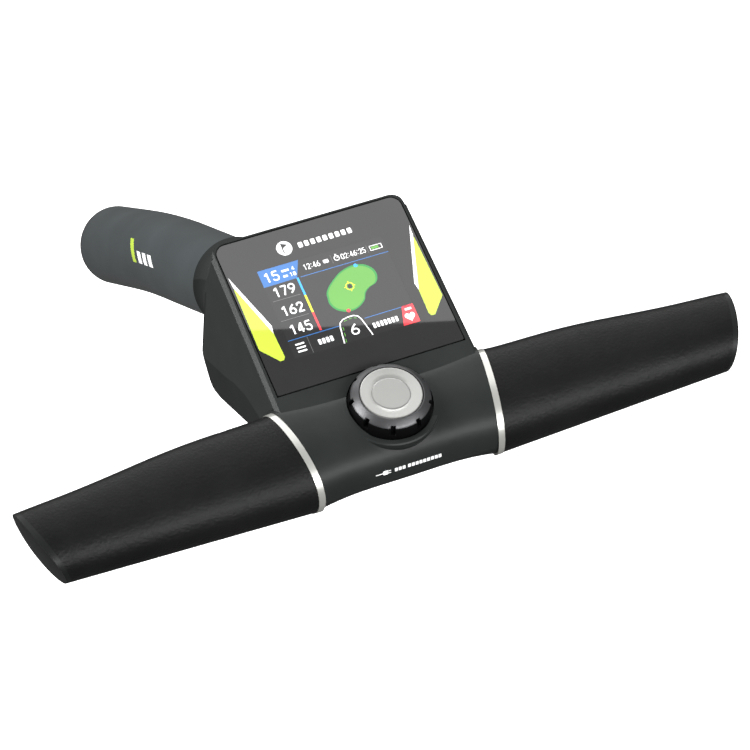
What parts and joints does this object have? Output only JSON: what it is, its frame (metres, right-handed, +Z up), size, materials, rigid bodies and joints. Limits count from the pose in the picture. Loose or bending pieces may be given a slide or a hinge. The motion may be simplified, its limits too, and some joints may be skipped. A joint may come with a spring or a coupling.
{
  "type": "golf trolley handle",
  "caption": "T-shaped trolley handlebar with tilted display console, push-and-turn speed dial, soft grips, charging port cover and hollow curved stem.",
  "frame": {"origin": "centre of the mouth of the socket at the lower end of the stem", "axes": "+X to the golfer's right along the handlebar, +Y forward away from the golfer, +Z up"},
  "size_m": [0.3266, 0.3739, 0.2235],
  "materials": {
    "housing_plastic": "satin charcoal",
    "stem_plastic": "satin slate grey",
    "display_glass": "gloss black printed glass",
    "grip_rubber": "soft-touch, fine grain",
    "cap_plastic": "satin black",
    "core_plastic": "glass-filled nylon",
    "trim_metal": "satin anodised",
    "dial_metal": "spun and polished rim",
    "knob_plastic": "semi-gloss black",
    "seal_rubber": "matt",
    "steel": "zinc plated",
    "brass": "knurled",
    "tube_aluminium": "mill finish",
    "bracket_alloy": "die-cast",
    "circuit_board": "green solder mask",
    "chip_plastic": "moulded",
    "connector_plastic": "moulded nylon",
    "ceramic": "ceramic",
    "flex_cable": "polyimide film",
    "cable_jacket": "matt",
    "tape": "foam tape"
  },
  "bodies": {
    "console": {"board_chips": "chip_plastic", "board_screws": "steel", "buzzer": "chip_plastic", "clamp_bolts": "steel", "core_screws": "steel", "dial_ribbon": "flex_cable", "display_lens": "display_glass", "encoder_board": "circuit_board", "encoder_body": "chip_plastic", "encoder_nut": "brass", "encoder_washer": "steel", "end_cap_left": "cap_plastic", "end_cap_right": "cap_plastic", "gps_antenna": "ceramic", "grip_core_left": "core_plastic", "grip_core_right": "core_plastic", "grip_left": "grip_rubber", "grip_right": "grip_rubber", "harness": "cable_jacket", "harness_plug": "connector_plastic", "housing_screws": "steel", "lcd_frame": "steel", "lcd_panel": "display_glass", "lcd_ribbon": "flex_cable", "lcd_screws": "steel", "lens_tape": "tape", "lower_housing": "housing_plastic", "main_board": "circuit_board", "ribbon_sockets": "connector_plastic", "screw_inserts": "brass", "shield_can": "steel", "socket_screws": "steel", "stem_bracket": "bracket_alloy", "stem_clamp": "bracket_alloy", "stem_contacts": "core_plastic", "stem_sleeve": "stem_plastic", "stem_socket": "core_plastic", "stem_tube": "tube_aluminium", "touch_panel": "display_glass", "trim_ring_left": "trim_metal", "trim_ring_right": "trim_metal", "upper_housing": "housing_plastic", "usb_board": "circuit_board", "usb_cover_pin": "steel", "usb_ribbon": "flex_cable", "usb_socket": "steel", "usb_tongue": "connector_plastic"},
    "dial_plunger": {"switch_plunger": "steel"},
    "dial": {"dial_knob": "knob_plastic", "dial_cap": "dial_metal", "encoder_shaft": "steel"},
    "port_cover": {"usb_cover": "seal_rubber"}
  },
  "joints": [
    {"name": "dial_press", "type": "slide", "parent": "console", "child": "dial_plunger", "axis": [0, 0.1942, -0.981], "range_m": [0, 0.0005], "stiffness_N_per_m": 6000, "springref_m": -0.0003},
    {"name": "dial_turn", "type": "hinge", "parent": "dial_plunger", "child": "dial", "pos_m": [0, -0.34052, 0.17945], "axis": [0, 0.1942, -0.981], "continuous": true},
    {"name": "port_cover_hinge", "type": "hinge", "parent": "console", "child": "port_cover", "pos_m": [0, -0.34002, 0.14385], "axis": [1, 0, 0], "range_deg": [0, 100]}
  ]
}
